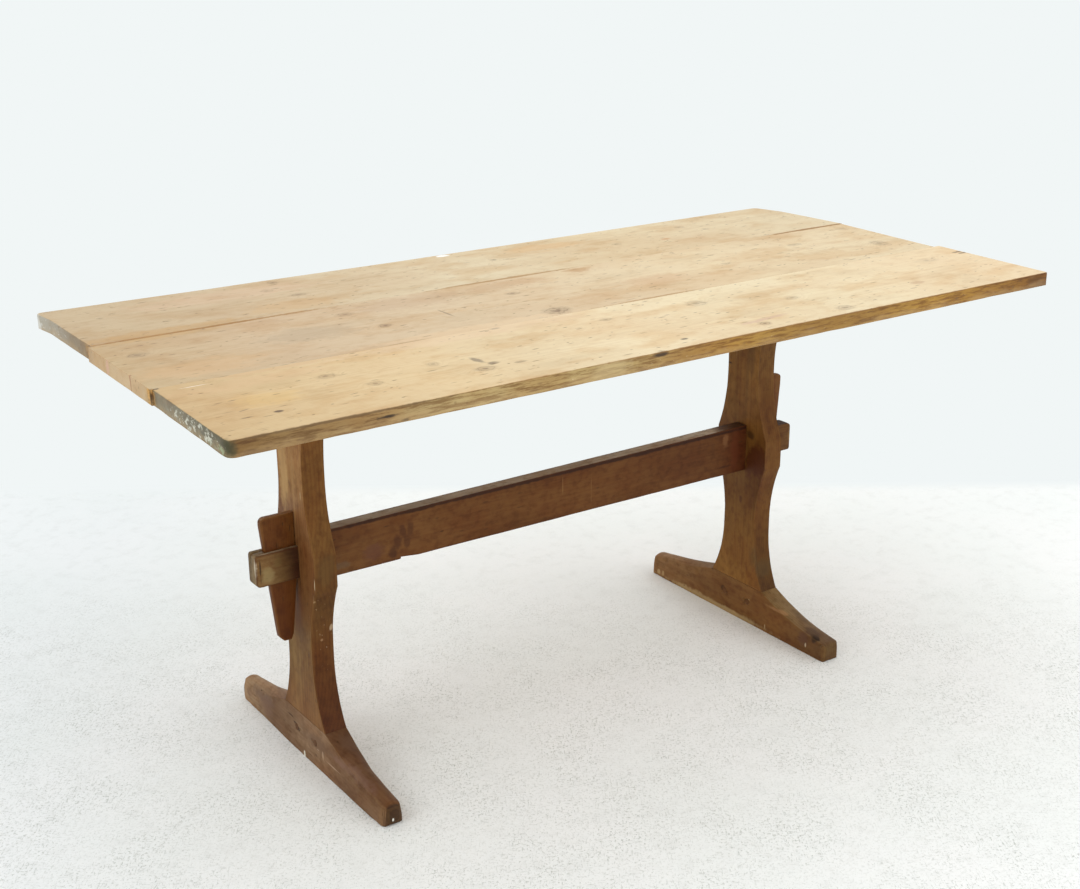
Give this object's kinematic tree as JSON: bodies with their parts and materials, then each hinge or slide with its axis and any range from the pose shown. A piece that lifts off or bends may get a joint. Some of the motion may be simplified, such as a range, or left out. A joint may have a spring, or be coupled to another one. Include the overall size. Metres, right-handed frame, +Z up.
{
  "type": "trestle dining table",
  "caption": "Knock-down trestle dining table: loose plank top on waisted board trestles tied by a wedged stretcher.",
  "frame": {"origin": "on the floor, under the middle of the top's plan outline", "axes": "+X along the table towards the far trestle, +Y across the table towards its back edge, +Z up"},
  "size_m": [1.6516, 0.796, 0.75],
  "materials": {
    "top_planks": "aged honey-blond pine, satin from wear, stained and scratched",
    "trestle_boards": "brown-stained pine, waxed, worn lighter on the edges",
    "stretcher_board": "reddish-brown stained pine, greyed on the worn upper edge",
    "wedges": "dark red-brown stained hardwood",
    "pegs": "split hardwood, trimmed flush",
    "battens": "unstained planed pine"
  },
  "bodies": {
    "base": {"near_foot": "trestle_boards", "near_post": "trestle_boards", "near_head_rail": "trestle_boards", "near_foot_pegs": "pegs", "near_head_pegs": "pegs", "near_locating_pegs": "pegs", "far_foot": "trestle_boards", "far_post": "trestle_boards", "far_head_rail": "trestle_boards", "far_foot_pegs": "pegs", "far_head_pegs": "pegs", "far_locating_pegs": "pegs", "stretcher": "stretcher_board"},
    "top": {"top_plank_front": "top_planks", "top_plank_middle": "top_planks", "top_plank_back": "top_planks", "front_joint_dowels": "pegs", "back_joint_dowels": "pegs", "near_batten": "battens", "far_batten": "battens"},
    "near_wedge": {"near_wedge": "wedges"},
    "far_wedge": {"far_wedge": "wedges"}
  },
  "joints": [
    {"name": "top_lift", "type": "slide", "parent": "base", "child": "top", "axis": [0, 0, 1], "range_m": [0, 0.15]},
    {"name": "near_wedge_lift", "type": "slide", "parent": "base", "child": "near_wedge", "axis": [0, 0, 1], "range_m": [0, 0.17]},
    {"name": "far_wedge_lift", "type": "slide", "parent": "base", "child": "far_wedge", "axis": [0, 0, 1], "range_m": [0, 0.13]}
  ]
}
